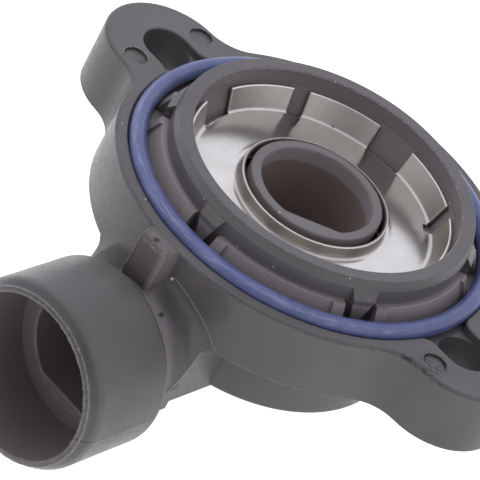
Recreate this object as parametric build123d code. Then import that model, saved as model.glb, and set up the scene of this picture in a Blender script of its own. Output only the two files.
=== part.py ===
from build123d import *
import math
import os

# Throttle position sensor, in millimetres.
# +Z leaves the mounting face along the rotor axis, the ears lie along X, the connector points along -Y.
# The origin is on the rotor axis, level with the mounting face.

# Rotor, its drive hole and its bearing on the housing's post
hub_top = 0.8
drive_r = 6.4
drive_flat_depth = 0.8
drive_flat_at = -50.0
drive_depth = 8.6
drive_lead = 0.15
drive_corner = 1.0
hub_wall = 1.25
hub_web = 1.4
hub_r = drive_r + hub_wall
disc_thickness = 2.0
disc_overhang = 1.9
post_r = 2.5
post_shoulder_r = 3.9
post_length = 2.3
bearing_clearance = 0.05
end_play = 0.1
bearing_top = hub_top - drive_depth - hub_web
disc_bottom = bearing_top - end_play - post_length
disc_top = disc_bottom + disc_thickness

# Return spring around the hub
spring_wire_r = 0.4
spring_hub_gap = 1.35
spring_r = hub_r + spring_hub_gap + spring_wire_r
spring_turns = 4
spring_gap = 0.1
spring_at = -10.0
spring_lower_leg = 3.0
spring_upper_leg = 8.6
spring_notch_gap = 0.3

# Stop lug on the rotor's disc and the stop ribs on the chamber's wall
disc_r = spring_r + spring_wire_r + disc_overhang
stop_angle = 100.0
stop_at = -30.0
stop_slack = 1.0
lug_width = 2.0
lug_height = 1.3
lug_gap = 0.7
lug_inner_r = spring_r + spring_wire_r + lug_gap
stop_rib_width = 1.6
stop_rib_height = 2.2
stop_rib_gap = 0.3

# Resistance element under the disc
wiper_room = 1.51
board_thickness = 0.8
board_gap = 0.3
track_thickness = 0.06
track_width = 1.4
track_inset = 1.1
track_spacing = 3.5
resistor_r = disc_r - track_inset
collector_r = resistor_r - track_spacing
track_top = disc_bottom - wiper_room
board_top = track_top - track_thickness

# Chamber inside the housing
disc_gap = 0.7
cavity_r = disc_r + disc_gap
cavity_floor = board_top - board_thickness

# Wiper under the rotor
wiper_sheet = 0.2
wiper_at = 40.0
wiper_base = 3.0
wiper_finger_width = 1.2
wiper_finger_length = 4.0
contact_gap = 0.1
stud_r = 0.5
stud_inset = 0.9
stud_clearance = 0.02

# Retainer cup
sheet = 0.4
hub_gap = 0.48
cup_seat = -1.5
cup_seat_width = 1.7
cup_collar_top = 0.41
cup_collar_r = hub_r + hub_gap + sheet
cup_bowl = 4.4
cup_bowl_rise = 0.38
cup_bowl_round = 2.0
cup_crease = 0.12
tab_lean = 0.9
tab_base_r = cavity_r + cup_seat_width
cup_rest = cup_seat + cup_bowl_rise * (1 - cup_seat_width / cup_bowl)
tab_top_r = tab_base_r + tab_lean
tab_top = 2.05
slot_bottom = cup_seat + sheet + cup_bowl_rise
wide_slot_angle = 17.7
narrow_slot_angle = 7.0
wide_slot_at = 8.0
narrow_slot_at = 53.5

# Collar around the cup
cup_gap = 0.18
collar_height = 4.0
collar_wall = 1.87
collar_lean = 0.35
collar_bevel = 1.05
collar_edge = 0.15
bore_lean = 1.08
collar_bore_r = tab_top_r + sheet + cup_gap
bore_foot_r = collar_bore_r - bore_lean
collar_r = collar_bore_r + collar_wall
collar_rim_r = collar_r - collar_lean
ledge_z = 1.25
ledge_width = 0.6
ledge_lean = 1.1
ledge_r = collar_r + ledge_width
ledge_foot_r = ledge_r + ledge_lean
web_count = 6
web_gap = 3.7
web_top_width = 3.0
web_foot_width = 0.8
web_reach = 0.75
web_slope = 0.95
pad_width = 1.4
pad_reach = 0.12

# O-ring and its seat in the mounting face
o_ring_wire_r = 0.9
o_ring_inner_gap = 0.2
o_ring_outer_gap = 0.15
o_ring_gap = 0.02
o_ring_r = ledge_foot_r + o_ring_inner_gap + o_ring_wire_r
seat_outer_r = o_ring_r + o_ring_wire_r + o_ring_outer_gap
seat_depth = 1.0
seat_mouth_round = 1.6

# Mounting flange and ears
seat_wall = 1.5
flange_r = seat_outer_r + seat_wall
flange_thickness = 7.6
flange_edge = 0.4
lip_edge = 0.25
bolt_hole_r = 2.9
ear_wall = 4.45
ear_reach = 1.6
ear_blend = 5.0
ear_r = bolt_hole_r + ear_wall
ear_spacing = 2 * (flange_r + ear_reach)
dimple_r = 1.37
dimple_depth = 0.28
dimple_gap = 2.4
dimple_offset = bolt_hole_r + dimple_gap

# Rear boss
boss_wall = 3.95
boss_floor = 2.73
boss_edge = 0.4
boss_r = cavity_r + boss_wall
boss_depth = boss_floor - cavity_floor

# Terminals and the rivets that join them to the tracks
terminal_thickness = 0.8
terminal_pitch = 4.0
terminal_width = 1.5
terminal_reach = 5.0
terminal_inner_end = 0.9
terminal_chamfer = 0.25
rivet_y = -math.sqrt(resistor_r**2 - terminal_pitch**2)
rivet_r = 0.4
rivet_head_r = 0.8
rivet_head = 0.35
rivet_clearance = 0.02
terminal_end = rivet_y + terminal_inner_end

# Connector, with distances along its axis from the rotor axis
connector_z = cavity_floor - terminal_thickness / 2
key_r = 7.0
key_flat_depth = 0.9
key_step = 1.92
neck_wall = 1.3
neck_blend = 4.0
neck_step = flange_r - 1.8
neck_foot = 1.3
neck_length = 3.4
neck_end_wall = 1.4
block_wall = 0.6
neck_r = key_r + neck_wall
block_half_width = key_r + block_wall
shroud_wall = 1.36
shroud_draft = 0.1
shroud_length = 10.15
shroud_edge = 0.4
lip_length = 1.27
lip_round = 2.0
mouth_rim = 0.45
mouth_round = 0.5
mouth_inset = 1.8
key_depth = 5.8
key_edge = 0.2
mouth_r = key_r + key_step
shroud_r = mouth_r + shroud_wall
shroud_back = flange_r + neck_length
shroud_lip = shroud_back + shroud_length
shroud_mouth = shroud_lip + lip_length
mouth_floor = shroud_back + mouth_inset
key_floor = mouth_floor - key_depth
terminal_tip = key_floor + terminal_reach

# Rib on the flange wall above the neck
rib_reach = 1.85
rib_left = -2.5
rib_right = 0.9
rib_draft = 1.2
rib_back_draft = 0.4
rib_round = 0.6
rib_front = flange_r + rib_reach


def ring_of(count, shape):
    """Copies a shape evenly around the rotor axis."""
    return [Rot(Z=360 / count * i) * shape for i in range(count)]


def drum(radius, low, high):
    """A cylinder on the rotor axis between two heights."""
    return Pos(0, 0, low) * extrude(Circle(radius), high - low)


def slab(x0, x1, y0, y1, z0, z1):
    """A box between two corners."""
    return Pos((x0 + x1) / 2, (y0 + y1) / 2, (z0 + z1) / 2) * Box(x1 - x0, y1 - y0, z1 - z0)


def spun(points, rounds):
    """A solid turned about the rotor axis from points of radius and height, with some corners rounded."""
    profile = make_face(Polyline(*[(r, 0, z) for r, z in points], close=True))
    for index, radius in rounds.items():
        r, z = points[index]
        corner = [v for v in profile.vertices() if abs(v.X - r) < 0.001 and abs(v.Z - z) < 0.001]
        profile = fillet(corner, radius)
    return revolve(profile, Axis.Z)


def on_connector(shape):
    """Moves a shape from the rotor axis to the connector axis, which points along -Y."""
    return Pos(0, 0, connector_z) * Rot(X=90) * shape


def barrel(radius, back, front):
    """A cylinder on the connector axis between two distances from the rotor axis."""
    return on_connector(drum(radius, back, front))


def sector(radius, centre, angle):
    """A flat wedge about the rotor axis."""
    half = math.radians(angle / 2)
    tip = Vector(radius * math.cos(half), radius * math.sin(half))
    return Rot(Z=centre) * make_face(Polyline((0, 0), (tip.X, -tip.Y), (tip.X, tip.Y), close=True))


def in_pocket(point):
    """Tells whether a point of the mounting face is on the edge of the seat or of a bolt hole."""
    from_axis = math.hypot(point.X, point.Y)
    from_hole = math.hypot(abs(point.X) - ear_spacing / 2, point.Y)
    return from_axis < (seat_outer_r + flange_r - flange_edge) / 2 or from_hole < (bolt_hole_r + ear_r) / 2


def make_flange():
    """Flange with two ears, the O-ring seat that opens into the bolt holes, and the ejector marks."""
    ears = [Pos(s * ear_spacing / 2, 0) for s in (-1, 1)]
    outline = Circle(flange_r) + [e * Circle(ear_r) for e in ears]
    outline = fillet([v for v in outline.vertices() if abs(v.Y) > 1], ear_blend)
    body = extrude(outline, -flange_thickness)
    body = fillet(body.edges().group_by(Axis.Z)[-1], flange_edge)
    pocket = Circle(seat_outer_r) + Rectangle(ear_spacing, 2 * bolt_hole_r)
    corners = [v for v in pocket.vertices() if abs(v.X) < ear_spacing / 2 - 0.01]
    pocket = fillet(corners, seat_mouth_round) + [e * Circle(bolt_hole_r) for e in ears]
    body -= extrude(pocket, -seat_depth)
    inside = [e for e in body.edges().group_by(Axis.Z)[-1] if in_pocket(e @ 0.5)]
    body = fillet(inside, lip_edge)
    for e in ears:
        body -= e * drum(bolt_hole_r, -flange_thickness - 1, 1)
        for s in (-1, 1):
            body -= e * Pos(0, s * dimple_offset) * drum(dimple_r, -dimple_depth, 1)
    return body


def make_collar():
    """Collar with a bevelled rim, a ledge at its foot and six webs in the gaps of the ledge."""
    low = -flange_thickness / 2
    floor = -seat_depth
    bevel_foot = collar_height - collar_bevel
    points = [
        (bore_foot_r, low), (ledge_foot_r, low), (ledge_foot_r, floor), (ledge_r, ledge_z),
        (collar_r, ledge_z), (collar_r, bevel_foot), (collar_rim_r, collar_height),
        (collar_bore_r, collar_height), (collar_bore_r, tab_top), (bore_foot_r, cup_rest)]
    body = spun(points, {3: collar_edge, 5: 2 * collar_edge, 6: collar_edge, 7: collar_edge})
    gap = slab(collar_r - 1, ledge_foot_r + 1, -web_gap / 2, web_gap / 2, floor, ledge_z + 1)
    gap -= drum(collar_r, floor, ledge_z + 1)
    front = make_face(Polyline(
        (collar_r - 1, -web_top_width / 2, bevel_foot), (collar_r - 1, web_top_width / 2, bevel_foot),
        (collar_r - 1, web_foot_width / 2, floor), (collar_r - 1, -web_foot_width / 2, floor), close=True))
    side = make_face(Polyline(
        (collar_r - 1, -web_top_width, floor), (collar_r + web_reach, -web_top_width, floor),
        (collar_r + web_reach, -web_top_width, bevel_foot - web_slope), (collar_r, -web_top_width, bevel_foot),
        (collar_r - 1, -web_top_width, bevel_foot), close=True))
    web = extrude(front, 1 + web_reach, dir=(1, 0, 0)) & extrude(side, 2 * web_top_width, dir=(0, 1, 0))
    pad = make_face(Polyline(
        (collar_r - 1, 0, floor), (ledge_foot_r + pad_reach, 0, floor), (ledge_r + pad_reach, 0, ledge_z),
        (collar_r - 1, 0, ledge_z), close=True))
    pad = extrude(pad, pad_width, dir=(0, 1, 0))
    start = Rot(Z=-90)
    body -= [start * g for g in ring_of(web_count, gap)]
    for piece in (web, Pos(0, web_gap / 2) * pad, Pos(0, -web_gap / 2 - pad_width) * pad):
        body += [start * p for p in ring_of(web_count, piece)]
    return body


def make_connector():
    """Round shroud with its open mouth, before the keyed socket is cut."""
    rim_r = mouth_r + mouth_rim
    points = [
        (0, shroud_back), (shroud_r - shroud_draft, shroud_back), (shroud_r, shroud_lip), (rim_r, shroud_mouth),
        (mouth_r, shroud_mouth), (mouth_r, mouth_floor), (0, mouth_floor)]
    return on_connector(spun(points, {1: shroud_edge, 2: lip_round, 3: mouth_round, 4: mouth_rim / 3}))


def make_neck():
    """Neck that swells into the flange wall, and the block under the flange that carries the terminals."""
    reach = neck_r + neck_blend + 1
    tall = drum(flange_r, connector_z - 2 * reach, connector_z + 2 * reach)
    tall += barrel(neck_r, 0, flange_r + reach)
    tall = fillet(tall.edges().filter_by(GeomType.BSPLINE), neck_blend)
    front = -shroud_back - 1
    half = block_half_width
    swell = tall & slab(-reach, reach, front, 0, -flange_thickness, -seat_depth)
    wide = neck_r + neck_foot
    foot_low = -flange_thickness - neck_foot
    foot = slab(-wide, wide, front, -neck_step, foot_low, -flange_thickness)
    for x in (-wide, wide):
        foot -= Pos(x, 0, foot_low) * Rot(X=90) * extrude(Circle(neck_foot), -front)
    upper = tall & (slab(-neck_r, neck_r, front, -neck_step, connector_z, -flange_thickness) + foot)
    block = tall & slab(-half, half, front, 0, -boss_depth, -flange_thickness)
    lower = barrel(neck_r, key_floor - neck_end_wall, shroud_back + 1)
    lower &= slab(-half, half, front, 0, connector_z - neck_r, connector_z)
    return swell + upper + block + lower


def make_rib():
    """Rib on the flange wall above the neck."""
    wall = flange_r - 1.5
    foot = make_face(Polyline(
        (rib_left - rib_back_draft, -wall), (rib_left, -rib_front), (rib_right, -rib_front),
        (rib_right + rib_draft, -wall), close=True))
    body = Pos(0, 0, connector_z + neck_r - 1) * extrude(foot, -connector_z - neck_r + 1 - 0.1)
    front = [e for e in body.edges().group_by(Axis.Z)[-1] if abs(e.center().Y + rib_front) < 0.01]
    body = fillet(front, rib_round)
    corner = [e for e in body.edges() if abs(e.center().X - rib_right) < 0.01 and e.length > rib_round]
    return fillet(corner, rib_round)


def make_hollow():
    """Everything inside the housing that is empty: bore, element chamber and connector sockets."""
    bore = [
        (0, cup_rest), (bore_foot_r, cup_rest), (collar_bore_r, tab_top), (collar_bore_r, collar_height + 1),
        (0, collar_height + 1)]
    hollow = spun(bore, {}) + drum(cavity_r, cavity_floor, cup_rest)
    hollow -= drum(post_shoulder_r, cavity_floor, disc_bottom - end_play)
    hollow -= drum(post_r, cavity_floor, disc_bottom - end_play + post_length)
    rib_low = disc_top + stop_rib_gap
    rib = slab(
        lug_inner_r + stop_rib_gap, cavity_r + 1, -stop_rib_width / 2, stop_rib_width / 2,
        rib_low, rib_low + stop_rib_height)
    lean = math.degrees((lug_width + stop_rib_width) / 2 / lug_inner_r) + stop_slack
    for angle in (stop_at - lean, stop_at + stop_angle + lean):
        hollow -= Rot(Z=angle) * rib
    key = Circle(key_r) - Pos(0, key_flat_depth - 2 * key_r) * Rectangle(4 * key_r, 2 * key_r)
    hollow += on_connector(Pos(0, 0, key_floor) * extrude(key, mouth_floor + 1 - key_floor))
    return hollow + on_connector(Pos(0, 0, mouth_floor - key_edge) * extrude(key, key_edge, taper=-45))


def make_housing():
    """One moulding: flange, ears, collar, boss, terminal block, connector and rib."""
    boss = drum(boss_r, -boss_depth, -seat_depth)
    boss = fillet(boss.edges().group_by(Axis.Z)[0], boss_edge)
    body = make_flange() + make_collar() + boss + make_neck() + make_connector() + make_rib()
    body -= make_hollow()
    body -= spring_notch()
    return body - [terminal_blank(i) for i in (-1, 0, 1)]


def make_o_ring():
    return Pos(0, 0, o_ring_gap + o_ring_wire_r - seat_depth) * Torus(o_ring_r, o_ring_wire_r)


def make_cup():
    """Pressed cup with a drawn collar and eight sprung tabs."""
    floor = cup_seat + sheet
    bowl_r = tab_base_r - cup_bowl
    inner_r = cup_collar_r - sheet
    slope = math.atan2(cup_bowl_rise, cup_bowl)
    steep = math.atan2(tab_top - slot_bottom, tab_lean)
    middle = (slope + steep) / 2
    miter = sheet / math.cos(steep - middle)
    points = [
        (inner_r, cup_collar_top), (cup_collar_r, cup_collar_top), (cup_collar_r, floor),
        (bowl_r, floor), (tab_base_r, slot_bottom), (tab_top_r, tab_top),
        (tab_top_r + sheet * math.sin(steep), tab_top - sheet * math.cos(steep)),
        (tab_base_r + miter * math.sin(middle), slot_bottom - miter * math.cos(middle)),
        (bowl_r + sheet * math.tan(slope / 2), cup_seat), (inner_r, cup_seat)]
    cup = spun(points, {
        2: sheet, 9: 2 * sheet, 3: cup_bowl_round, 8: cup_bowl_round + sheet,
        4: cup_crease, 7: cup_crease + sheet})
    for start, angle in ((wide_slot_at, wide_slot_angle), (narrow_slot_at, narrow_slot_angle)):
        wedge = extrude(sector(2 * tab_top_r, start, angle), tab_top - slot_bottom + 1)
        wedge = Pos(0, 0, slot_bottom) * wedge
        wedge -= drum((cup_collar_r + tab_base_r) / 2, slot_bottom - 1, tab_top + 2)
        cup -= ring_of(4, wedge)
    return cup


def stud_places():
    """Places of the two studs that hold the wiper to the rotor."""
    turn = math.radians(wiper_at)
    places = []
    for r in (collector_r + stud_inset, resistor_r - stud_inset):
        t = wiper_base / 2
        places.append((r * math.cos(turn) - t * math.sin(turn), r * math.sin(turn) + t * math.cos(turn)))
    return places


def make_rotor():
    """Hub with the drive hole, carrier disc, stop lug and wiper studs."""
    body = drum(hub_r, disc_bottom, hub_top)
    body = fillet(body.edges().group_by(Axis.Z)[-1], 0.2)
    body += drum(disc_r, disc_bottom, disc_top)
    drive = Circle(drive_r) - Pos(2 * drive_r - drive_flat_depth, 0) * Rectangle(2 * drive_r, 4 * drive_r)
    drive = fillet(drive.vertices(), drive_corner)
    socket = Pos(0, 0, hub_top - drive_depth) * extrude(drive, drive_depth + 1)
    lead = Pos(0, 0, hub_top - drive_lead) * extrude(drive, drive_lead, taper=-45)
    body -= Rot(Z=drive_flat_at) * socket
    body -= Rot(Z=drive_flat_at) * lead
    body -= drum(post_r + bearing_clearance, disc_bottom, disc_bottom + post_length + end_play)
    lug = slab(lug_inner_r, disc_r, -lug_width / 2, lug_width / 2, disc_top - 0.5, disc_top + lug_height)
    body += Rot(Z=stop_at) * lug
    for x, y in stud_places():
        body += Pos(x, y) * drum(stud_r, disc_bottom - 2 * wiper_sheet, disc_bottom + 0.5)
    return body


def make_wiper():
    """Brush with one finger on each track."""
    top = disc_bottom
    low = top - wiper_sheet
    tip = track_top + contact_gap
    reach = wiper_finger_length
    inner = collector_r - wiper_finger_width / 2
    outer = resistor_r + wiper_finger_width / 2
    body = slab(inner, outer, 0, wiper_base, low, top)
    side = [
        (0.3, top), (0, top), (-reach + 0.6, tip + wiper_sheet), (-reach + 0.3, tip + wiper_sheet),
        (-reach, tip + wiper_sheet + 0.2), (-reach - 0.15, tip + wiper_sheet), (-reach + 0.25, tip),
        (-reach + 0.65, tip), (0, low), (0.3, low)]
    for r in (collector_r, resistor_r):
        outline = Polyline(*[(r - wiper_finger_width / 2, t, z) for t, z in side], close=True)
        body += extrude(make_face(outline), wiper_finger_width, dir=(1, 0, 0))
    body = Rot(Z=wiper_at) * body
    for x, y in stud_places():
        body -= Pos(x, y) * drum(stud_r + stud_clearance, low - 1, top + 1)
    return body


def rivet_places():
    return [Pos(i * terminal_pitch, rivet_y) for i in (-1, 0, 1)]


def make_board():
    body = drum(cavity_r - board_gap, cavity_floor, board_top)
    body -= drum(post_shoulder_r + board_gap, cavity_floor - 1, board_top + 1)
    for place in rivet_places():
        body -= place * drum(rivet_r + rivet_clearance, cavity_floor - 1, board_top + 1)
    return body


def arc_strip(radius, width):
    """Flat ring of the given middle radius."""
    return Circle(radius + width / 2) - Circle(radius - width / 2)


def make_resistor():
    """Open resistive arc that ends at the outer rivets."""
    ends = math.degrees(math.asin(terminal_pitch / resistor_r))
    strip = arc_strip(resistor_r, track_width) - sector(2 * resistor_r, -90, 2 * ends)
    for place in rivet_places()[::2]:
        strip += place * Circle(track_width / 2)
        strip -= place * Circle(rivet_r + rivet_clearance)
    return Pos(0, 0, board_top) * extrude(strip, track_thickness)


def make_collector():
    """Closed conductive ring with a tab to the middle rivet."""
    middle = rivet_places()[1]
    tab = Pos(0, (rivet_y - collector_r) / 2) * Rectangle(track_width, -rivet_y - collector_r)
    strip = arc_strip(collector_r, track_width) + tab + middle * Circle(track_width / 2)
    strip -= middle * Circle(rivet_r + rivet_clearance)
    return Pos(0, 0, board_top) * extrude(strip, track_thickness)


def terminal_blank(index):
    """Blade from the element chamber through the wall into the connector."""
    x = index * terminal_pitch
    half = terminal_width / 2
    low = cavity_floor - terminal_thickness
    body = slab(x - half, x + half, -terminal_tip, terminal_end, low, cavity_floor)
    return chamfer(body.edges().group_by(Axis.Y)[0], terminal_chamfer)


def make_terminal(index):
    """Blade with the hole for its rivet."""
    hole = drum(rivet_r + rivet_clearance, cavity_floor - 2 * terminal_thickness, cavity_floor + 1)
    return terminal_blank(index) - Pos(index * terminal_pitch, rivet_y) * hole


def make_rivets():
    low = cavity_floor - terminal_thickness
    rivet = drum(rivet_r, low, track_top) + drum(rivet_head_r, track_top, track_top + rivet_head)
    return Compound(children=[place * rivet for place in rivet_places()])


def spring_path():
    """Coil with a straight leg at each end."""
    low = disc_top + spring_gap + spring_wire_r
    high = cup_seat - spring_gap - spring_wire_r - 0.4
    coil = Helix((high - low) / spring_turns, high - low, spring_r)
    start = Line(coil @ 0 - (coil % 0) * spring_lower_leg, coil @ 0)
    end = Line(coil @ 1, coil @ 1 + (coil % 1) * spring_upper_leg)
    return Pos(0, 0, low) * Rot(Z=spring_at) * Wire([start, coil, end])


def make_spring():
    path = spring_path()
    return sweep(Plane(origin=path @ 0, z_dir=path % 0) * Circle(spring_wire_r), path=path, is_frenet=True)


def spring_notch():
    """Groove in the housing that holds the spring's upper leg."""
    path = spring_path()
    tip = path @ 1
    run = path % 1
    half = spring_wire_r + spring_notch_gap
    block = Box(2 * half, 2 * spring_upper_leg, 2)
    turn = math.degrees(math.atan2(run.Y, run.X)) - 90
    block = Pos(tip.X, tip.Y, cup_rest - 1) * Rot(Z=turn) * block
    return block & drum(math.hypot(tip.X, tip.Y) + spring_notch_gap, cup_rest - 2, cup_rest)


left, middle, right = -1, 0, 1
nodes = {
    "housing": make_housing(),
    "o_ring": make_o_ring(),
    "retainer_cup": make_cup(),
    "rotor": make_rotor(),
    "wiper": make_wiper(),
    "return_spring": make_spring(),
    "element_board": make_board(),
    "resistor_track": make_resistor(),
    "collector_track": make_collector(),
    "terminal_left": make_terminal(left),
    "terminal_middle": make_terminal(middle),
    "terminal_right": make_terminal(right),
    "contact_rivets": make_rivets(),
}
os.makedirs("parts", exist_ok=True)
for name, shape in nodes.items():
    export_step(shape, f"parts/{name}.step")
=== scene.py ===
# %% [markdown]
# # A throttle position sensor, dressed in Blender
# The solids come from CAD at their true size and place, in metres. This lesson gives them their finishes,
# models the pieces that need a closer look, and sets up the camera and the light tent of a product
# photograph.

# %% Load the solids
import math

import bpy
from mathutils import Matrix, Vector


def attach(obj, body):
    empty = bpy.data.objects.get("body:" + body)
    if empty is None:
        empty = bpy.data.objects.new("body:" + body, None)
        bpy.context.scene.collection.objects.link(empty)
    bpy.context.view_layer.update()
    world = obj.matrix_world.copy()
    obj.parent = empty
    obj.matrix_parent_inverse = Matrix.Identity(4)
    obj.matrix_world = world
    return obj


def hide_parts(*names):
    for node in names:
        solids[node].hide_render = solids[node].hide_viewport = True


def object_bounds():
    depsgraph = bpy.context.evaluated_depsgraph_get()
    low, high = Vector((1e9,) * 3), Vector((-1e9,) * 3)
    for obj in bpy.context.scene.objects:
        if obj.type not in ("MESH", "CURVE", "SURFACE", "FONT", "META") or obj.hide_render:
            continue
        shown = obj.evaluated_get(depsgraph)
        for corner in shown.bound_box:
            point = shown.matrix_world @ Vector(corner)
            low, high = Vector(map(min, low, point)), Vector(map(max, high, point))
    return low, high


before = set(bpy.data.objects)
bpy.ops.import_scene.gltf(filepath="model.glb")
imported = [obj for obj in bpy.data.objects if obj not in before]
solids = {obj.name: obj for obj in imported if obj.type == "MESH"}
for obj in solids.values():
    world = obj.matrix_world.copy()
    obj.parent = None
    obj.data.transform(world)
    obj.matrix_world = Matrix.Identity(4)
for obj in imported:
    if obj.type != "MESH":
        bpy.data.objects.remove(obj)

mm = 0.001
cad_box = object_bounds()
print("solids:", ", ".join(sorted(solids)))

# %% [markdown]
# ## Camera
# The picture was taken with a long lens from the connector's side, looking down on the mounting face, and
# the camera was rolled. The three angles, the distance and the pixel where the rotor axis crosses the
# mounting face fix the view. A camera can be aimed with a constraint, but a matrix built from its three
# axes also holds the roll.

# %% Camera
image_side = 480
focal_pixels = 4000.4
sensor_width = 36.0
camera_turn = math.radians(27.72)
camera_rise = math.radians(35.85)
camera_roll = math.radians(28.99)
camera_distance = 425.97 * mm
aim_point = Vector((0, 0, -0.1 * mm))
aim_pixel = (313.99, 195.52)

back = Vector((math.sin(camera_turn) * math.cos(camera_rise), -math.cos(camera_turn) * math.cos(camera_rise),
               math.sin(camera_rise)))
level = Vector((math.cos(camera_turn), math.sin(camera_turn), 0))
rise = back.cross(level)
across = level * math.cos(camera_roll) + rise * math.sin(camera_roll)
upward = rise * math.cos(camera_roll) - level * math.sin(camera_roll)
slide = [(pixel - image_side / 2) / focal_pixels * camera_distance for pixel in aim_pixel]
camera_place = aim_point - across * slide[0] + upward * slide[1] + back * camera_distance

bpy.ops.object.camera_add()
camera = bpy.context.object
camera.matrix_world = Matrix.Translation(camera_place) @ Matrix((across, upward, back)).transposed().to_4x4()
camera.data.sensor_width = sensor_width
camera.data.lens = focal_pixels / image_side * sensor_width
bpy.context.scene.camera = camera
print("camera", round(camera.data.lens), "mm lens at", [round(c, 3) for c in camera_place])

# %% [markdown]
# ## Shader maths
# A finish is mostly arithmetic on positions and noise. Wiring each Math node by hand is slow to write and
# hard to read, so a small class wraps a socket: its operators add Math nodes, and node() adds any other
# kind of node.


# %% A socket that can be used in expressions
class Shade:
    """A socket of a shader tree."""

    def __init__(self, tree, socket=None):
        self.tree = tree
        self.socket = socket

    def node(self, kind, settings=None, sockets=None, out=0):
        """Adds a node with its settings, then the values or links of its sockets."""
        made = self.tree.nodes.new("ShaderNode" + kind)
        for name, value in (settings or {}).items():
            setattr(made, name, value)
        for name, value in (sockets or {}).items():
            if isinstance(value, Shade):
                self.tree.links.new(value.socket, made.inputs[name])
            else:
                made.inputs[name].default_value = value
        return Shade(self.tree, made.outputs[out])

    def other(self, out):
        """Another output of the same node."""
        return Shade(self.tree, self.socket.node.outputs[out])

    def maths(self, operation, *values):
        return self.node("Math", {"operation": operation}, dict(enumerate(values)))

    def step(self, low, high):
        """Rises smoothly from 0 at low to 1 at high."""
        limits = {"Value": self, "From Min": low, "From Max": high}
        return self.node("MapRange", {"interpolation_type": "SMOOTHSTEP"}, limits)

    def mix(self, first, second):
        """The first colour where this is 0, the second where it is 1."""
        return self.node("Mix", {"data_type": "RGBA"}, {0: self, 6: first, 7: second}, 2)

    def near(self, middle, width):
        """Is 1 at a value and fades to 0 a width away."""
        return 1 - abs(self - middle).step(width * 0.4, width)

    def parts(self):
        """The three numbers of a vector."""
        split = self.node("SeparateXYZ", sockets={0: self})
        return split, split.other(1), split.other(2)

    def __add__(self, other):
        return self.maths("ADD", self, other)

    def __radd__(self, other):
        return self.maths("ADD", other, self)

    def __sub__(self, other):
        return self.maths("SUBTRACT", self, other)

    def __rsub__(self, other):
        return self.maths("SUBTRACT", other, self)

    def __mul__(self, other):
        return self.maths("MULTIPLY", self, other)

    def __rmul__(self, other):
        return self.maths("MULTIPLY", other, self)

    def __truediv__(self, other):
        return self.maths("DIVIDE", self, other)

    def __pow__(self, other):
        return self.maths("POWER", self, other)

    def __abs__(self):
        return self.maths("ABSOLUTE", self)


print("sockets can now be added, multiplied, stepped and mixed")

# %% [markdown]
# Every finish starts from the same surface shader. These helpers make one, fill its sockets, and draw the
# patterns that most finishes share: noise, specks, distances from an axis and soft spots.


# %% Finishes and patterns
def grey(level, warm=0.0):
    """An opaque grey, a little warmer or cooler in its red and blue."""
    return (level * (1 + warm), level, level * (1 - warm), 1.0)


def new_finish(name):
    """A material, a pen that adds nodes to it, and its surface shader."""
    material = bpy.data.materials.new(name)
    material.use_nodes = True
    tree = material.node_tree
    return material, Shade(tree), tree.nodes["Principled BSDF"]


def fill(pen, surface, values):
    """Sets or links the sockets of a surface shader."""
    for name, value in values.items():
        if isinstance(value, Shade):
            pen.tree.links.new(value.socket, surface.inputs[name])
        else:
            surface.inputs[name].default_value = value


def spot_in_mm(pen):
    """Object coordinates in millimetres, so that a pattern's scale is given per millimetre."""
    place = pen.node("TexCoord", out="Object")
    return pen.node("VectorMath", {"operation": "SCALE"}, {0: place, "Scale": 1 / mm})


def noise(pen, spot, per_mm, detail=2.0, rough=0.5):
    sockets = {"Vector": spot, "Scale": per_mm, "Detail": detail, "Roughness": rough}
    return pen.node("TexNoise", sockets=sockets)


def specks(pen, spot, per_mm, size, share):
    """Round specks in a share of the cells of a scatter."""
    cells = pen.node("TexVoronoi", sockets={"Vector": spot, "Scale": per_mm}, out="Distance")
    pick = pen.node("SeparateColor", sockets={0: cells.other("Color")})
    return (1 - cells.step(size * 0.6, size)) * pick.step(1 - share, 1 - share + 0.01)


def away(first, second):
    """Distance from an axis, from the two coordinates across it."""
    return (first * first + second * second) ** 0.5


def around(pen, x, y, z, along, across):
    """Coordinates that stretch a pattern along the turn about the rotor axis, or across it."""
    turn = pen.maths("ARCTAN2", y, x)
    return pen.node("CombineXYZ", sockets={0: turn * along, 1: away(x, y) * across, 2: z * across})


def spot_at(pen, spot, place, size):
    """Is 1 at a place on the surface and fades to 0 a size away."""
    gap = pen.node("VectorMath", {"operation": "DISTANCE"}, {0: spot, 1: place}, "Value")
    return 1 - gap.step(size * 0.5, size)


def bump(pen, height, depth_mm, strength=1.0):
    return pen.node("Bump", sockets={"Height": height, "Distance": depth_mm * mm, "Strength": strength})


print("patterns are drawn in millimetres,", 1 / mm, "to the metre")

# %% [markdown]
# ## Floor and light
# The sensor was photographed in a white tent, so the floor throws a lot of light back up at its sides,
# and its hollows stay dark. Faces that look straight at the tent's opening, where the camera stood, are
# darker too. A pale floor that glows a little, a sky with that dim opening and a soft lamp over the left
# ear give the same light. Hard lamps would draw shadows that the picture doesn't have. The lamp is hidden
# from reflections, or the steel would mirror it.

# %% Floor, sky and lamp
bpy.context.scene.view_settings.view_transform = "Standard"
bpy.ops.object.select_all(action="DESELECT")
bpy.ops.mesh.primitive_plane_add(size=6, location=(0, 0, cad_box[0].z))
floor = bpy.context.object
floor.name = "floor"
floor_finish, pen, surface = new_finish("floor_card")
fill(pen, surface, {
    "Base Color": grey(0.3),
    "Roughness": 0.9,
    "Emission Color": grey(1.0),
    "Emission Strength": 1.08,
})
floor.data.materials.append(floor_finish)

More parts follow.
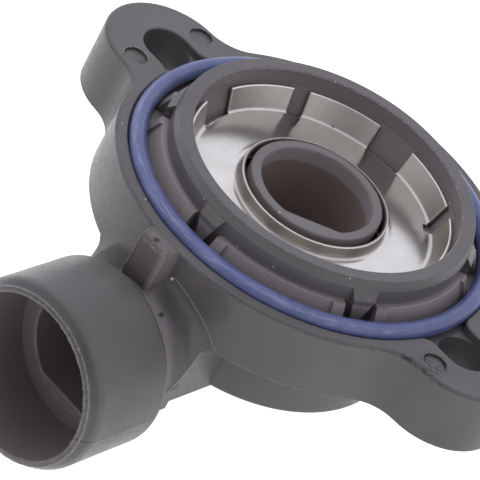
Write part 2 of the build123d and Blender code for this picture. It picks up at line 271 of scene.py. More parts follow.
sky = bpy.data.worlds.new("tent")
sky.use_nodes = True
backdrop = sky.node_tree.nodes["Background"]
pen = Shade(sky.node_tree)
towards = pen.node("TexCoord", out="Generated")
depth = towards.parts()[1]
facing = pen.node("VectorMath", {"operation": "DOT_PRODUCT"}, {0: towards, 1: back}, "Value")
opening = facing.step(0.84, 0.98)
glow = (0.84 + 0.28 * depth.step(-0.9, 0.9)) * (1 - 0.7 * opening)
fill(pen, backdrop, {"Color": (0.98, 0.985, 1.05, 1.0), "Strength": glow})
bpy.context.scene.world = sky


def lamp(name, place, size, watts):
    """A square soft lamp that faces the sensor."""
    bpy.ops.object.light_add(type="AREA", location=place)
    light = bpy.context.object
    light.name = name
    light.data.size = size
    light.data.energy = watts
    light.visible_glossy = False
    light.rotation_euler = (-Vector(place)).to_track_quat("-Z", "Y").to_euler()


lamp("top_lamp", (-0.08, 0.01, 0.15), 0.12, 0.12)
print("floor at %.4f m, sky and one lamp" % floor.location.z)

# %% [markdown]
# ## Moulded plastic
# The housing and the rotor are mouldings in dark grey filled plastic. Such a surface has a soft sheen, a
# very fine spark texture from the mould and slow changes of tone where the melt flowed. All of it is
# worked out from positions in millimetres, so the grain has the same size on every face.

# %% Moulded plastic
housing_tone = 0.079
rotor_tone = 0.098


def plastic_tint(level):
    """The plastic's grey leans to red and away from green."""
    return (level * 1.05, level * 0.95, level * 1.0, 1.0)


def moulded(pen, spot, tone):
    """Colour, roughness and height of a plain moulded surface."""
    flow = noise(pen, spot, 0.09, 3.0)
    grain = noise(pen, spot, 4.5, 3.0, 0.6)
    peel = noise(pen, spot, 0.9, 2.0)
    colour = flow.step(0.3, 0.7).mix(plastic_tint(tone * 0.89), plastic_tint(tone * 1.1))
    gloss = noise(pen, spot, 0.2, 3.0, 0.55).step(0.3, 0.7)
    return colour, 0.28 + 0.08 * grain + 0.06 * gloss, grain * 0.35 + peel


def dress(node, material):
    """Gives a CAD solid its finish."""
    data = solids[node].data
    data.materials.clear()
    data.materials.append(material)


print("plastic tones", housing_tone, rotor_tone)

# %% [markdown]
# ## Housing
# The housing's shape is right as it comes from CAD, so it stays and only gets its finish. The moulding
# has many marks of its own, and each is a mask built from distances: from the rotor axis, from the plug's
# axis or from a point. The painted light and shade are masks of the same kind. The pale ones come first:
# scuffs on the edges of the mouth and the plug socket, with a painted highlight on the socket's key edge,
# painted light on the ledge beside the O-ring, in the bore and in the socket, where these hollows are
# lightened as if more light reached them, and fine rubs around the collar, which are noise stretched
# along the turn.

# %% Housing: scuffs, painted light and rubs
plug_z = -14.37
# pale tint that paints light into the hollows
painted_fill_tint = (0.23, 0.205, 0.208, 1.0)

housing_plastic, pen, surface = new_finish("housing_plastic")
spot = spot_in_mm(pen)
x, y, z = spot.parts()
forward = 0 - y
axis_r = away(x, y)
plug_r = away(x, z - plug_z)
colour, rough, height = moulded(pen, spot, housing_tone)

patches = noise(pen, spot, 2.2, 4.0, 0.65).step(0.46, 0.62)
mouth_edge = forward.step(37.3, 37.5)
# pale mark along the key edge, partly real wear and partly a painted highlight on the edge
key_edge_scuff_and_highlight = plug_r.near(7.12, 0.3) * y.near(-27.95, 0.35)
worn = (mouth_edge * 0.3 + key_edge_scuff_and_highlight * 0.6) * patches

on_ledge = axis_r.step(17.35, 17.6) * (1 - axis_r.step(19.3, 19.5))
on_ledge = on_ledge * (1 - z.step(1.3, 1.5)) * z.step(-1.1, -0.9)
in_bore = (1 - axis_r.step(15.6, 15.7)) * z.step(-1.35, -1.2)
in_mouth = forward.step(26.6, 26.8) * (1 - plug_r.step(8.95, 9.02))
in_socket = pen.maths("MAXIMUM", in_mouth, forward.step(21.9, 22.1) * (1 - plug_r.step(7.3, 7.5)))
# painted light: the ledge, the bore and the socket are lightened as if more light reached these hollows
painted_hollow_tone = on_ledge * 0.8 + in_bore * 0.6 + in_socket * 0.8
colour = (painted_hollow_tone * (0.85 + 0.1 * patches)).mix(colour, painted_fill_tint)

rubs = noise(pen, around(pen, x, y, z, 2.5, 7.0), 1.0, 4.0, 0.7).step(0.5, 0.72)
rubs = rubs * (1 - axis_r.step(19.3, 19.6)) * z.step(-1.2, -1.0)
colour = (rubs * 0.3).mix(colour, plastic_tint(0.2))
print("pale marks with", len(pen.tree.nodes), "nodes")

# %% [markdown]
# The neck is sheltered between the shroud and the flange. Shade is painted there, most of all to the
# left of the rib and in a spot on the flange, and the side that is easy to reach is rubbed paler. The rib
# is painted lighter and browner as if lit, with a painted highlight on its right front edge.

# %% Housing: neck and rib
shroud_back = -26.2
# lighter brown tint of the rib's painted light
rib_lit_tint = (0.145, 0.122, 0.115, 1.0)
# dark tint and flange spot of the painted shade on the neck
painted_shade_tint = (0.022, 0.018, 0.017, 1.0)
flange_shade_spot = (7.0, -21.7, -2.6)

ragged = noise(pen, spot, 1.6, 4.0, 0.65)
on_rib = y.near(-23.9, 1.3) * x.step(-2.95, -2.75) * (1 - x.step(1.3, 1.6)) * plug_r.step(8.6, 8.9)
# painted highlight along the rib's rounded right front edge
rib_edge_highlight = (1 - away(x - 0.8, y + 24.5).step(0.2, 0.45)) * plug_r.step(8.8, 9.2)
on_neck = forward.step(21.9, 22.4) * y.step(shroud_back - 0.02, shroud_back + 0.02)
on_neck = on_neck * plug_r.step(7.6, 7.8) * (1 - plug_r.step(10.0, 11.2)) * (1 - x.step(8.0, 8.2))
on_neck = on_neck * (1 - on_rib)
# painted shade: the neck is darkened to the left of the rib, beside the rib on the right, and in a spot on
# the flange
shaded_share = (1 - x.step(-2.6, -2.2)) * 0.75 + plug_r.near(9.9, 1.1) * x.step(1.0, 3.0) * 0.45
painted_neck_shade = on_neck * shaded_share + spot_at(pen, spot, flange_shade_spot, 2.8) * 0.3
rubbed = on_neck * x.step(0.5, 1.5) * forward.step(23.2, 24.4)
# painted light: the rib's face is lightened, a little browner, as if more light fell on it
colour = (on_rib * 0.35).mix(colour, rib_lit_tint)
colour = (rib_edge_highlight * 0.35).mix(colour, plastic_tint(0.22))
colour = (rubbed * (0.5 + 0.4 * ragged)).mix(colour, plastic_tint(0.19))
colour = painted_neck_shade.mix(colour, painted_shade_tint)
print("neck and rib with", len(pen.tree.nodes), "nodes")

# %% [markdown]
# The mould leaves dark lines: the parting line along the shroud, where its two halves met, witness lines
# round the flange and the ears, and a groove on the lip of the mouth, and noise breaks them up. The dark
# edge at the shroud's back and a band on the lip's outer slope are painted shade.

# %% Housing: mould lines and painted shade
flow = noise(pen, spot, 0.25, 2.0)
rim_edges = z.step(3.82, 3.96) * (axis_r.near(17.05, 0.18) + axis_r.near(15.68, 0.16))
on_lip = forward.step(36.4, 36.6) * (1 - in_mouth)
# painted shade: a dark band on the outer slope of the lip
lip_shade_band = on_lip * plug_r.step(9.62, 9.72) * (1 - plug_r.step(10.02, 10.14))
lip_groove = forward.step(37.3, 37.4) * plug_r.near(9.32, 0.14)
parting = 0.8 * z.near(plug_z, 0.16) * (shroud_back - y).step(0.2, 0.4) * x.step(8.5, 9.0)
witness = z.near(-0.3, 0.24) * axis_r.step(21.9, 22.3) * ragged.step(0.4, 0.6) * flow.step(0.35, 0.6)
lower_line = z.near(-7.52, 0.1) * axis_r.near(22.8, 0.15) * x.step(9.0, 9.4) * ragged.step(0.35, 0.55)
# painted shade along the edge at the shroud's back, stronger to the right
shroud_back_shade = y.near(shroud_back - 0.1, 0.15) * plug_r.step(9.3, 9.5) * (0.5 + 0.5 * x.step(0, 3))
lines = parting + witness * 0.5 + shroud_back_shade
lines = lines + lip_shade_band * 0.35 + lip_groove * 0.3 + rim_edges * patches * 0.35
print("mould lines with", len(pen.tree.nodes), "nodes")

# %% [markdown]
# The last marks are damage: a torn edge and a chip beside the neck, a ragged edge by a dimple of the
# right ear, pits, crumbs around the rib's pit, and dust. The roughness then falls on the smooth lip and
# rises where shade is painted on the neck.

# %% Housing: chips, pits and dust
rib_pit = (-1.07, -23.89, -0.1)
neck_pit = (3.73, -24.22, -6.34)
chip_ends = [(8.3, -22.8, -13.4), (8.3, -22.3, -13.15)]
torn_edge = (24.0, -7.2, -0.3)
torn_dimple = (24.4, -5.3)
white_grain = (2.08, -22.79, -3.14)

tear = (x + ragged * 0.03).near(8.275, 0.03) * (y + 22.6).near(0, 2.4)
tear = tear * z.step(-13.7, -13.3) * (1 - z.step(-10.0, -9.4))
torn = away(x - torn_dimple[0], y - torn_dimple[1]).near(1.48, 0.24)
torn = torn + spot_at(pen, spot, torn_edge, 3.0) * z.near(-0.25, 0.35)
torn = torn * ragged.step(0.44, 0.56) * z.step(-0.7, -0.6)
pits = spot_at(pen, spot, rib_pit, 0.5) + spot_at(pen, spot, neck_pit, 0.35)
for place in chip_ends:
    pits = pits + spot_at(pen, spot, place, 0.5)
crumbs = spot_at(pen, spot, rib_pit, 1.6) * ragged.step(0.54, 0.6) + lower_line * 0.6
dark = pen.maths("MINIMUM", lines + torn * 0.7 + tear + pits, 1.0)
dust = specks(pen, spot, 1.6, 0.06, 0.10) + specks(pen, spot, 0.5, 0.045, 0.25)
dust = dust + spot_at(pen, spot, white_grain, 0.2)

colour = (worn * 0.5 + crumbs * 0.3).mix(colour, grey(0.3))
fill(pen, surface, {
    "Base Color": dust.mix(dark.mix(colour, grey(0.02)), grey(0.6)),
    "Roughness": rough + 0.1 * patches - 0.16 * on_lip + 0.3 * painted_neck_shade,
    "Specular IOR Level": 0.4,
    "Normal": bump(pen, height - 3 * pits - 2 * parting, 0.012),
})
dress("housing", housing_plastic)
print("housing finish with", len(pen.tree.nodes), "nodes")

# %% [markdown]
# ## Rotor
# The rotor's hub is the same kind of plastic, a little smoother. Its drive hole's wall is painted pale
# as if lit, below a thin bare band at the lip, and deeper down the wall takes a painted brown shade that
# is darker than the pale band. The hub's outer wall, in the gap beside the cup, is painted paler as
# light in the gap.

# %% Rotor finish
hub_top = 0.8
# depth where the painted shade starts in the drive hole
shade_depth = 1.75
# pale tone of the painted light on the hub's wall in the gap beside the cup
painted_gap_light = (0.25, 0.21, 0.195, 1.0)
# brown tone of the painted shade deep in the drive hole
painted_hole_shade = (0.185, 0.145, 0.135, 1.0)
hub_grain = (1.2, -7.38, hub_top)

rotor_plastic, pen, surface = new_finish("rotor_plastic")
spot = spot_in_mm(pen)
x, y, z = spot.parts()
colour, rough, height = moulded(pen, spot, rotor_tone)
ragged = noise(pen, spot, 1.5, 3.0)
in_hole = 1 - away(x, y).step(6.42, 6.5)
on_wall = away(x, y).step(7.35, 7.5) * (1 - z.step(hub_top - 0.25, hub_top - 0.1))
depth = hub_top - z + 0.3 * ragged
# painted light on the hole's upper wall and painted shade deeper down
painted_hollow_tone = in_hole * depth.step(shade_depth - 0.1, shade_depth + 0.4)
painted_lit_wall = in_hole * depth.step(0.25, 0.4)
colour = (painted_lit_wall * 0.8).mix(colour, plastic_tint(0.3))
# painted light: the hub's outer wall in the gap beside the cup is lightened
colour = on_wall.mix(colour, painted_gap_light)
colour = painted_hollow_tone.mix(colour, painted_hole_shade)
dust = specks(pen, spot, 1.3, 0.06, 0.1) + spot_at(pen, spot, hub_grain, 0.15)
fill(pen, surface, {
    "Base Color": (dust * 0.6).mix(colour, grey(0.6)),
    "Roughness": rough + 0.15 * painted_hollow_tone * ragged,
    "Normal": bump(pen, height, 0.01),
})
dress("rotor", rotor_plastic)
print("rotor finish with", len(pen.tree.nodes), "nodes")

# %% [markdown]
# ## Modelling by hand
# The next pieces are modelled as at the keyboard: a primitive is added, then shaped in edit mode. An
# operator acts on whatever is selected, so one helper starts a piece with nothing else selected, and one
# selects vertices, edges or faces by where they are, in millimetres.

# %% Selecting by place


def put_down():
    """Leaves edit mode and deselects everything."""
    if bpy.context.object and bpy.context.object.mode == "EDIT":
        bpy.ops.object.mode_set(mode="OBJECT")
    bpy.ops.object.select_all(action="DESELECT")


def named(name):
    """Names the new object and puts its place into its mesh."""
    piece = bpy.context.object
    piece.name = name
    bpy.ops.object.transform_apply(location=True, rotation=True, scale=True)
    return piece


def pick(piece, kind, test):
    """Selects the vertices, edges or faces whose middle passes a test, and stays in edit mode."""
    bpy.ops.object.mode_set(mode="EDIT")
    bpy.ops.mesh.select_mode(type=kind)
    bpy.ops.mesh.select_all(action="DESELECT")
    bpy.ops.object.mode_set(mode="OBJECT")
    points = [v.co / mm for v in piece.data.vertices]
    things = {"VERT": piece.data.vertices, "EDGE": piece.data.edges, "FACE": piece.data.polygons}[kind]
    for thing in things:
        corners = [points[i] for i in thing.vertices] if kind != "VERT" else [points[thing.index]]
        thing.select = bool(test(sum(corners, Vector()) / len(corners)))
    bpy.ops.object.mode_set(mode="EDIT")


def apply_modifier(piece, kind, settings):
    """Adds a modifier and applies it."""
    modifier = piece.modifiers.new(kind.lower(), kind)
    for name, value in settings.items():
        setattr(modifier, name, value)
    bpy.ops.object.modifier_apply(modifier=modifier.name)


def hand_over(piece, material, smooth_to=35):
    """Smooths a piece, gives it its finish, and lets it ride on the sensor's body."""
    put_down()
    piece.select_set(True)
    bpy.context.view_layer.objects.active = piece
    bpy.ops.object.shade_smooth_by_angle(angle=math.radians(smooth_to))
    piece.data.materials.clear()
    piece.data.materials.append(material)
    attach(piece, "body")
    print(piece.name, len(piece.data.polygons), "faces")


print("ready to model on", len(solids), "solids")

# %% [markdown]
# ## O-ring
# The O-ring is blue rubber, pressed in a two-part mould that leaves a fine ridge of flash around its
# inside and its outside. A torus primitive has no ridge, so a circle is added as the section, its two
# points on the mould's parting plane are pulled apart, and it is spun around the rotor axis.

# %% O-ring
ring_r = 20.28
ring_wire_r = 0.97
ring_z = -0.02

put_down()
section_place = (ring_r * mm, 0, ring_z * mm)
bpy.ops.mesh.primitive_circle_add(vertices=32, radius=ring_wire_r * mm, location=section_place,
                                  rotation=(math.pi / 2, 0, 0))
o_ring = named("o_ring_moulded")
pick(o_ring, "VERT", lambda p: abs(p.z - ring_z) < 0.01)
bpy.ops.transform.resize(value=(1.03, 1, 1), center_override=section_place)
bpy.ops.mesh.select_all(action="SELECT")
bpy.ops.mesh.spin(steps=180, angle=math.tau, center=(0, 0, 0), axis=(0, 0, 1))
bpy.ops.mesh.select_all(action="SELECT")
bpy.ops.mesh.remove_doubles(threshold=0.001 * mm)
bpy.ops.mesh.normals_make_consistent(inside=False)
put_down()
print("ring of", len(o_ring.data.vertices), "vertices")

# %% [markdown]
# The rubber's blue drifts in soft clouds and is paler along the ridge. Its upper outside at the front
# carries a painted highlight, broken into streaks along the ring as scuffs, and lint sticks to it.

# %% Rubber
seal_rubber, pen, surface = new_finish("seal_rubber")
spot = spot_in_mm(pen)
x, y, z = spot.parts()
cloud = noise(pen, spot, 0.35, 4.0, 0.6)
skin = noise(pen, spot, 7.0, 2.0)
ridge = z.near(ring_z, 0.16)
bloom = cloud.step(0.5, 0.75) * 0.35 + ridge * 0.25
lint = specks(pen, spot, 0.9, 0.05, 0.2)
streaks = noise(pen, around(pen, x, y, z, 9.0, 3.0), 1.0, 3.0, 0.6).step(0.48, 0.66)
upper_outside = away(x, y).near(ring_r + 0.62, 0.36) * z.step(0.2, 0.5)
# painted highlight on the upper outside at the front, broken into streaks that also read as scuffs
highlight_and_scuffs = upper_outside * (1 - y.step(-10, 0)) * (0.25 + 0.75 * streaks)
blue = cloud.step(0.3, 0.7).mix((0.060, 0.073, 0.19, 1.0), (0.078, 0.093, 0.225, 1.0))
colour = bloom.mix(blue, (0.11, 0.125, 0.26, 1.0))
colour = (highlight_and_scuffs * 0.55).mix(colour, (0.23, 0.25, 0.37, 1.0))
fill(pen, surface, {
    "Base Color": (lint * 0.6).mix(colour, grey(0.5)),
    "Roughness": 0.2 + 0.1 * skin + 0.1 * cloud,
    "Normal": bump(pen, skin + cloud, 0.006),
})
hand_over(o_ring, seal_rubber)
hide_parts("o_ring")

# %% [markdown]
# ## Retainer cup
# The cup is pressed from bright sheet: a drawn collar in the middle, a nearly flat floor, a crease, and
# eight sprung tabs with four wide and four narrow slots between them. It could be cut from a solid, but a
# press works on a flat sheet, so the profile of its upper side is drawn by extruding one vertex and spun
# a quarter turn. Each tab and each slot is one spin, so the slots' edges fall on edges of the mesh.

# %% Profile and quarter turn
cup_profile = [
    (8.53, 0.41), (8.53, -0.80), (8.58, -0.95), (8.69, -1.06), (8.84, -1.10),
    (9.70, -1.08), (11.80, -0.92), (13.40, -0.80), (13.85, -0.76), (14.00, -0.73),
    (14.10, -0.67), (14.17, -0.57), (15.00, 2.05)]
tab_start = 16.85
sweeps = [("tab", 33.15, 24), ("narrow slot", 7.0, 6), ("tab", 32.15, 24), ("wide slot", 17.7, 12)]
lean = Vector((math.cos(math.radians(tab_start)), math.sin(math.radians(tab_start)), 0))


def turn_of(point):
    """The angle of a point about the rotor axis, in degrees."""
    return math.degrees(math.atan2(point.y, point.x))


def drawn_line(name, points):
    """A plane merged to one vertex, which is extruded from point to point."""
    put_down()
    bpy.ops.mesh.primitive_plane_add(size=mm, location=points[0] * mm)
    piece = named(name)
    bpy.ops.object.mode_set(mode="EDIT")
    bpy.ops.mesh.select_all(action="SELECT")
    bpy.ops.mesh.merge(type="CENTER")
    for start, end in zip(points, points[1:]):
        bpy.ops.mesh.extrude_vertices_move(TRANSFORM_OT_translate={"value": (end - start) * mm})
    bpy.ops.mesh.select_all(action="SELECT")
    return piece


cup = drawn_line("retainer_cup_pressed", [lean * r + Vector((0, 0, z)) for r, z in cup_profile])
for name, angle, steps in sweeps:
    bpy.ops.mesh.spin(steps=steps, angle=math.radians(angle), center=(0, 0, 0), axis=(0, 0, -1))
put_down()
turns = sorted(turn_of(v.co) for v in cup.data.vertices)
print("quarter from %.1f to %.1f degrees" % (turns[0], turns[-1]))

# %% [markdown]
# The faces of a slot above the crease are deleted, and a narrow slot runs a little way into the floor.
# The quarter is then copied round, the copies are joined along their edges, and Solidify gives the sheet
# its thickness on the hidden side. Bevel takes the sharpness off the cut edges, which is what makes them
# shine.

# %% Slots, copies and thickness
sheet = 0.4
crease_z = -0.7
narrow_slot = (50.0, 57.0)
wide_slot = (89.15, 106.85)
relief = (51.2, 55.9)


def in_slot(point):
    """Tells whether a point of the first quarter is above the crease in one of its two slots."""
    turn = turn_of(point)
    outside = point.z > crease_z and math.hypot(point.x, point.y) > 14.0
    return outside and (narrow_slot[0] < turn < narrow_slot[1] or wide_slot[0] < turn < wide_slot[1])


def in_relief(point):
    """Tells whether a point is where a narrow slot runs on into the floor."""
    return relief[0] < turn_of(point) < relief[1] and math.hypot(point.x, point.y) > 13.4


put_down()
cup.select_set(True)
bpy.context.view_layer.objects.active = cup
pick(cup, "FACE", lambda p: in_slot(p) or in_relief(p))
bpy.ops.mesh.delete(type="FACE")
for turn in range(3):
    pick(cup, "VERT", lambda p: tab_start - 0.05 < turn_of(p) < wide_slot[1] + 0.05)
    bpy.ops.mesh.duplicate()
    bpy.ops.transform.rotate(value=math.pi / 2 * (turn + 1), orient_axis="Z", center_override=(0, 0, 0))
bpy.ops.mesh.select_all(action="SELECT")
bpy.ops.mesh.remove_doubles(threshold=0.005 * mm)
bpy.ops.mesh.delete_loose()
bpy.ops.mesh.select_all(action="SELECT")
bpy.ops.mesh.normals_make_consistent(inside=False)
bpy.ops.object.mode_set(mode="OBJECT")
floor_faces = [f for f in cup.data.polygons if abs(f.normal.z) > 0.9]
if floor_faces[0].normal.z < 0:
    bpy.ops.object.mode_set(mode="EDIT")
    bpy.ops.mesh.select_all(action="SELECT")
    bpy.ops.mesh.flip_normals()
    bpy.ops.object.mode_set(mode="OBJECT")
apply_modifier(cup, "SOLIDIFY", {"thickness": sheet * mm, "offset": -1.0, "use_even_offset": True})
apply_modifier(cup, "BEVEL", {
    "width": 0.15 * mm, "segments": 3, "limit_method": "ANGLE", "angle_limit": math.radians(50)})
print("cup box", [[round(c / mm, 2) for c in corner] for corner in (
    [min(v.co[i] for v in cup.data.vertices) for i in range(3)],
    [max(v.co[i] for v in cup.data.vertices) for i in range(3)])])

# %% [markdown]
# ## Cup steel
# The sheet is bright with a satin skin. The floor keeps faint clouds and a few dark specks, and the press
# has drawn fine streaks up the collar and the tabs. The streaks come from noise on the angle about the
# axis, which a plain Object coordinate can't give, so the angle is worked out first. The real floor
# mirrors the dark rim and not the sky, so it must be flatter than the modelled one, which rises a little
# towards the tabs. A soft bump turns the modelled floor's reflections down to match. The folds are dull,
# the inside of the collar is dull and painted dark as shade, and the cut edges are polished.

# %% Cup finish
speck_place = (-8.05, 11.63, -0.58)
# dark tone of the painted shade inside the collar
collar_inside_shade = (0.17, 0.145, 0.135, 1.0)

cup_steel, pen, surface = new_finish("cup_steel")
spot = spot_in_mm(pen)
x, y, z = spot.parts()
axis_r = away(x, y)
streaks = noise(pen, around(pen, x, y, z, 30.0, 0.5), 1.0, 4.0, 0.65)
cloud = noise(pen, spot, 0.3, 4.0, 0.6)
fine = noise(pen, spot, 9.0, 3.0, 0.7)
wall = z.step(-0.7, -0.4)
collar = 1 - axis_r.step(8.55, 8.75)
outer_floor = pen.node("Clamp", sockets={"Value": axis_r, "Min": 9.2, "Max": 13.7})
marks = specks(pen, spot, 1.1, 0.09, 0.3) + specks(pen, spot, 2.3, 0.1, 0.12)
marks = marks + spot_at(pen, spot, speck_place, 0.22)
bright = cloud.step(0.3, 0.7).mix((0.66, 0.64, 0.63, 1.0), (0.60, 0.58, 0.565, 1.0))
drawn_steel = streaks.step(0.2, 0.8).mix((0.505, 0.472, 0.435, 1.0), (0.455, 0.422, 0.385, 1.0))
steel = wall.mix(bright, drawn_steel)
inside = 1 - axis_r.step(8.28, 8.38)
polished = (1 - collar) * z.step(1.86, 1.98) + collar * z.step(0.3, 0.38) * 0.5
folds = axis_r.near(8.68, 0.28) * (1 - z.step(-0.85, -0.65)) + axis_r.near(14.03, 0.22) * z.near(-0.66, 0.2)
# painted shade: the inside of the collar and its rim's inner part are darkened, leaving a thin bright line
# at the crest
steel = inside.mix(polished.mix(steel, (0.82, 0.80, 0.77, 1.0)), collar_inside_shade)
rough = 0.13 + 0.04 * fine + 0.06 * cloud + 0.14 * collar + 0.16 * wall + 0.2 * folds + 0.2 * inside
fill(pen, surface, {
    "Base Color": (marks * 0.7).mix(steel, (0.12, 0.11, 0.10, 1.0)),
    "Metallic": 1.0,
    "Roughness": rough,
    "Normal": bump(pen, fine * 0.0012 + streaks * wall * 0.0004 - outer_floor * 0.11, 1.0),
})
hand_over(cup, cup_steel)
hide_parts("retainer_cup")

# %% [markdown]
# ## Flash
# Where the parts of the mould met, a little plastic was squeezed out. Thin plastic lets light through and
# its skin is rough, so flash looks paler than the rest. One finish serves all of it.

# %% Flash finish
flash_tone = 0.18

flash_plastic, pen, surface = new_finish("flash_plastic")
spot = spot_in_mm(pen)
colour, rough, height = moulded(pen, spot, flash_tone)
crumbs = noise(pen, spot, 3.0, 3.0, 0.6)
fill(pen, surface, {
    "Base Color": crumbs.step(0.4, 0.65).mix(plastic_tint(flash_tone * 0.6), colour),
    "Roughness": rough + 0.2 * crumbs,
    "Normal": bump(pen, height + crumbs, 0.012),
})
print("flash finish with", len(pen.tree.nodes), "nodes")

# %% [markdown]
# A thin line of flash runs in an arc over the neck on the flange's wall. It could be painted, but it
# catches light, so it is an arc of a circle, shrinkwrapped onto the housing along the plug's axis and
# given a round section.

# %% Line of flash on the neck
flash_r = 11.75


def thread(piece, thickness):
    """Turns a chain of edges into a thin round line."""
    put_down()
    piece.select_set(True)
    bpy.context.view_layer.objects.active = piece
    bpy.ops.object.convert(target="CURVE")
    piece.data.bevel_depth = thickness / 2 * mm
    piece.data.bevel_resolution = 1
    piece.data.use_fill_caps = True
    bpy.ops.object.convert(target="MESH")
    bpy.ops.object.mode_set(mode="EDIT")
    bpy.ops.mesh.select_all(action="SELECT")
    bpy.ops.mesh.remove_doubles(threshold=0.001 * mm)
    bpy.ops.mesh.normals_make_consistent(inside=False)
    bpy.ops.object.mode_set(mode="OBJECT")


def roughen(amount, seed):
    """Moves every vertex a little."""
    bpy.ops.object.mode_set(mode="EDIT")
    bpy.ops.mesh.select_all(action="SELECT")
    bpy.ops.transform.vertex_random(offset=amount * mm, uniform=1.0, normal=0.0, seed=seed)
    bpy.ops.object.mode_set(mode="OBJECT")


put_down()
bpy.ops.mesh.primitive_circle_add(vertices=240, radius=flash_r * mm, location=(0, -30 * mm, plug_z * mm),
                                  rotation=(math.pi / 2, 0, 0))
neck_flash = named("neck_flash")
pick(neck_flash, "VERT", lambda p: not (2.1 < p.x < 9.8 and p.z > plug_z))
bpy.ops.mesh.delete(type="VERT")
bpy.ops.object.mode_set(mode="OBJECT")
apply_modifier(neck_flash, "SHRINKWRAP", {
    "target": solids["housing"], "wrap_method": "PROJECT", "use_project_y": True,
    "use_positive_direction": True, "use_negative_direction": False})
thread(neck_flash, 0.18)
roughen(0.015, 3)
hand_over(neck_flash, flash_plastic, 60)

# %% [markdown]
# The rib beside the neck has such a line on its sharp edge. It isn't an arc, so it is drawn point by
# point and divided, and then gets the same round section. The ridge around the mouth's lip is a whole
# circle.

# %% Lines of flash on the rib and the mouth
ridge_r = 9.5
ridge_y = -37.4
rib_edge = [(-2.5, -24.65, -5.6), (-2.5, -24.65, -0.75), (-2.5, -24.56, -0.4), (-2.5, -24.34, -0.18),
            (-2.54, -24.0, -0.1), (-2.66, -23.2, -0.1)]

rib_flash = drawn_line("rib_flash", [Vector(point) for point in rib_edge])
bpy.ops.mesh.subdivide(number_cuts=6)
thread(rib_flash, 0.2)
roughen(0.02, 13)
hand_over(rib_flash, flash_plastic, 60)

put_down()
bpy.ops.mesh.primitive_circle_add(vertices=200, radius=ridge_r * mm, location=(0, ridge_y * mm, plug_z * mm),
                                  rotation=(math.pi / 2, 0, 0))
mouth_ridge = named("mouth_ridge")
thread(mouth_ridge, 0.2)
roughen(0.03, 17)
hand_over(mouth_ridge, flash_plastic, 60)

# %% [markdown]
# A fin is thin and stands out from the edge, so it starts as part of a circle whose edges are extruded
# inwards. Only the new vertices are then moved at random, so the fin's root stays on the edge and its tip
# is ragged.

# %% Ragged fins
mouth_place = (0, -37.5, plug_z)
rim_place = (0, 0, 3.88)
fin_height = 0.14
fin_wander = 0.05
fin_thickness = 0.06


def fin(name, radius, place, tilt, keep, seed):
    """A ragged fin that stands inwards on a round edge."""
    middle = [c * mm for c in place]
    put_down()
    bpy.ops.mesh.primitive_circle_add(vertices=400, radius=radius * mm, location=middle,
                                      rotation=(tilt, 0, 0))
    piece = named(name)
    pick(piece, "VERT", lambda p: not keep(p))
    bpy.ops.mesh.delete(type="VERT")
    bpy.ops.mesh.select_all(action="SELECT")
    bpy.ops.mesh.extrude_edges_move()
    shrink = 1 - fin_height / radius
    bpy.ops.transform.resize(value=(shrink, shrink, shrink), center_override=middle)
    bpy.ops.transform.vertex_random(offset=fin_wander * mm, uniform=1.0, normal=0.0, seed=seed)
    bpy.ops.mesh.select_all(action="SELECT")
    bpy.ops.mesh.normals_make_consistent(inside=False)
    bpy.ops.object.mode_set(mode="OBJECT")
    apply_modifier(piece, "SOLIDIFY", {"thickness": fin_thickness * mm, "offset": 0.0})
    hand_over(piece, flash_plastic, 60)


fin("mouth_fin", 9.0, mouth_place, math.pi / 2, lambda p: p.x > 1.5 and p.z > plug_z - 1.5, 5)
fin("rim_fin", 15.66, rim_place, 0.0, lambda p: p.y > 2.0, 7)

# %% [markdown]
# ## Burrs at the ejector marks
# The pins that pushed the moulding out left a round dimple on each side of both bolt holes, with a small
# burr along part of its edge. One burr is an arc given a round section and roughened. It is then copied
# to the other marks and turned, each copy with its own mesh.

# %% Burrs
dimple_r = 1.37
dimple_places = [(24.4, -5.3), (24.4, 5.3), (-24.4, -5.3), (-24.4, 5.3)]
first_x, first_y = dimple_places[0]
first_middle = Vector((first_x, first_y, 0)) * mm
burr_turn = 1.1

put_down()
bpy.ops.mesh.primitive_circle_add(vertices=40, radius=(dimple_r + 0.06) * mm,
                                  location=(first_x * mm, first_y * mm, 0))
burr = named("dimple_burr")
pick(burr, "VERT", lambda p: p.y > first_y + 0.3)
bpy.ops.mesh.delete(type="VERT")
bpy.ops.object.mode_set(mode="OBJECT")
thread(burr, 0.16)
roughen(0.04, 11)
for number, (x_place, y_place) in enumerate(dimple_places[1:], 1):
    put_down()
    burr.select_set(True)
    bpy.context.view_layer.objects.active = burr
    bpy.ops.object.duplicate()
    copy = named("dimple_burr_%d" % number)
    bpy.ops.object.mode_set(mode="EDIT")
    bpy.ops.mesh.select_all(action="SELECT")
    bpy.ops.transform.rotate(value=number * burr_turn, orient_axis="Z", center_override=first_middle)
    bpy.ops.transform.translate(value=Vector((x_place, y_place, 0)) * mm - first_middle)
    bpy.ops.object.mode_set(mode="OBJECT")
    hand_over(copy, flash_plastic, 60)
hand_over(burr, flash_plastic, 60)

# %% [markdown]
# ## Spring wire
# The return spring is coiled from drawn wire, which keeps fine lines along its length, a blue-grey temper
# and a little oil. The coil runs around the rotor axis, so lines of equal height and distance from the
# axis follow the wire closely. Noise that is stretched along the turn therefore looks like draw marks.

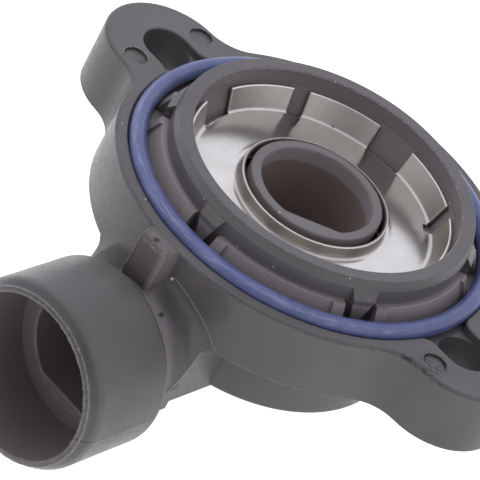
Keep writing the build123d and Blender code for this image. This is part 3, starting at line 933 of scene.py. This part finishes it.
# %% Spring wire
spring_steel, pen, surface = new_finish("spring_steel")
spot = spot_in_mm(pen)
x, y, z = spot.parts()
lines = noise(pen, around(pen, x, y, z, 2.0, 9.0), 1.0, 3.0, 0.6)
oil = noise(pen, spot, 0.5, 3.0)
temper = oil.step(0.35, 0.65).mix((0.50, 0.50, 0.52, 1.0), (0.36, 0.37, 0.42, 1.0))
fill(pen, surface, {
    "Base Color": (lines.step(0.5, 0.7) * 0.4).mix(temper, grey(0.25)),
    "Metallic": 1.0,
    "Roughness": 0.22 + 0.15 * lines + 0.08 * oil,
    "Normal": bump(pen, lines, 0.01),
})
dress("return_spring", spring_steel)
print("spring finish with", len(pen.tree.nodes), "nodes")

# %% [markdown]
# ## Brass contacts
# The blades, the wiper and the rivets are stamped from brass sheet. Rolling leaves fine lines along the
# blades, and brass tarnishes brown in soft clouds. All these pieces share one finish, because they come
# from the same strip.

# %% Brass contacts
contact_brass, pen, surface = new_finish("contact_brass")
spot = spot_in_mm(pen)
x, y, z = spot.parts()
rolled = noise(pen, pen.node("CombineXYZ", sockets={0: x * 8.0, 1: y * 0.6, 2: z * 8.0}), 1.0, 3.0, 0.6)
tarnish = noise(pen, spot, 0.6, 4.0, 0.6).step(0.45, 0.75)
brass = rolled.step(0.3, 0.7).mix((0.80, 0.60, 0.29, 1.0), (0.70, 0.51, 0.23, 1.0))
fill(pen, surface, {
    "Base Color": (tarnish * 0.6).mix(brass, (0.38, 0.24, 0.11, 1.0)),
    "Metallic": 1.0,
    "Roughness": 0.2 + 0.12 * rolled + 0.2 * tarnish,
    "Normal": bump(pen, rolled, 0.006),
})
brass_nodes = ("wiper", "terminal_left", "terminal_middle", "terminal_right", "contact_rivets")
for node in brass_nodes:
    dress(node, contact_brass)
print("brass finish on", ", ".join(brass_nodes))

# %% [markdown]
# ## Board and tracks
# The element board is a paper laminate, so a fine weave shows on its faces. Two pastes are printed on it:
# carbon for the resistor and silver for the collector. The wiper has polished a ring into each track,
# which is a band at one distance from the rotor axis.

# %% Board and tracks
resistor_r = 10.6
collector_r = 7.1

board_laminate, pen, surface = new_finish("board_laminate")
spot = spot_in_mm(pen)
x, y, z = spot.parts()
weave = pen.maths("SINE", x * 9.0) * pen.maths("SINE", y * 9.0)
fibres = noise(pen, spot, 1.5, 4.0, 0.6)
paper = fibres.step(0.3, 0.7).mix((0.42, 0.31, 0.16, 1.0), (0.33, 0.24, 0.11, 1.0))
fill(pen, surface, {
    "Base Color": (weave.step(0.0, 1.0) * 0.25).mix(paper, (0.5, 0.4, 0.24, 1.0)),
    "Roughness": 0.42 + 0.15 * fibres,
    "Normal": bump(pen, weave + fibres, 0.006),
})
dress("element_board", board_laminate)


def printed_track(name, colour, polished, metallic, track_r):
    """A finish of printed paste with the ring that the wiper has polished."""
    material, pen, surface = new_finish(name)
    spot = spot_in_mm(pen)
    x, y, z = spot.parts()
    worn = away(x, y).near(track_r, 0.5)
    paste = noise(pen, spot, 5.0, 3.0, 0.6)
    fill(pen, surface, {
        "Base Color": (worn * (0.5 + 0.5 * paste)).mix(colour, polished),
        "Metallic": metallic,
        "Roughness": 0.5 + 0.15 * paste - 0.25 * worn,
        "Normal": bump(pen, paste * (1 - 0.7 * worn), 0.01),
    })
    return material


carbon = printed_track("resistor_carbon", grey(0.018), grey(0.05), 0.0, resistor_r)
silver = printed_track("collector_silver", grey(0.62, 0.02), grey(0.78, 0.03), 1.0, collector_r)
dress("resistor_track", carbon)
dress("collector_track", silver)
print("board, resistor and collector finished")
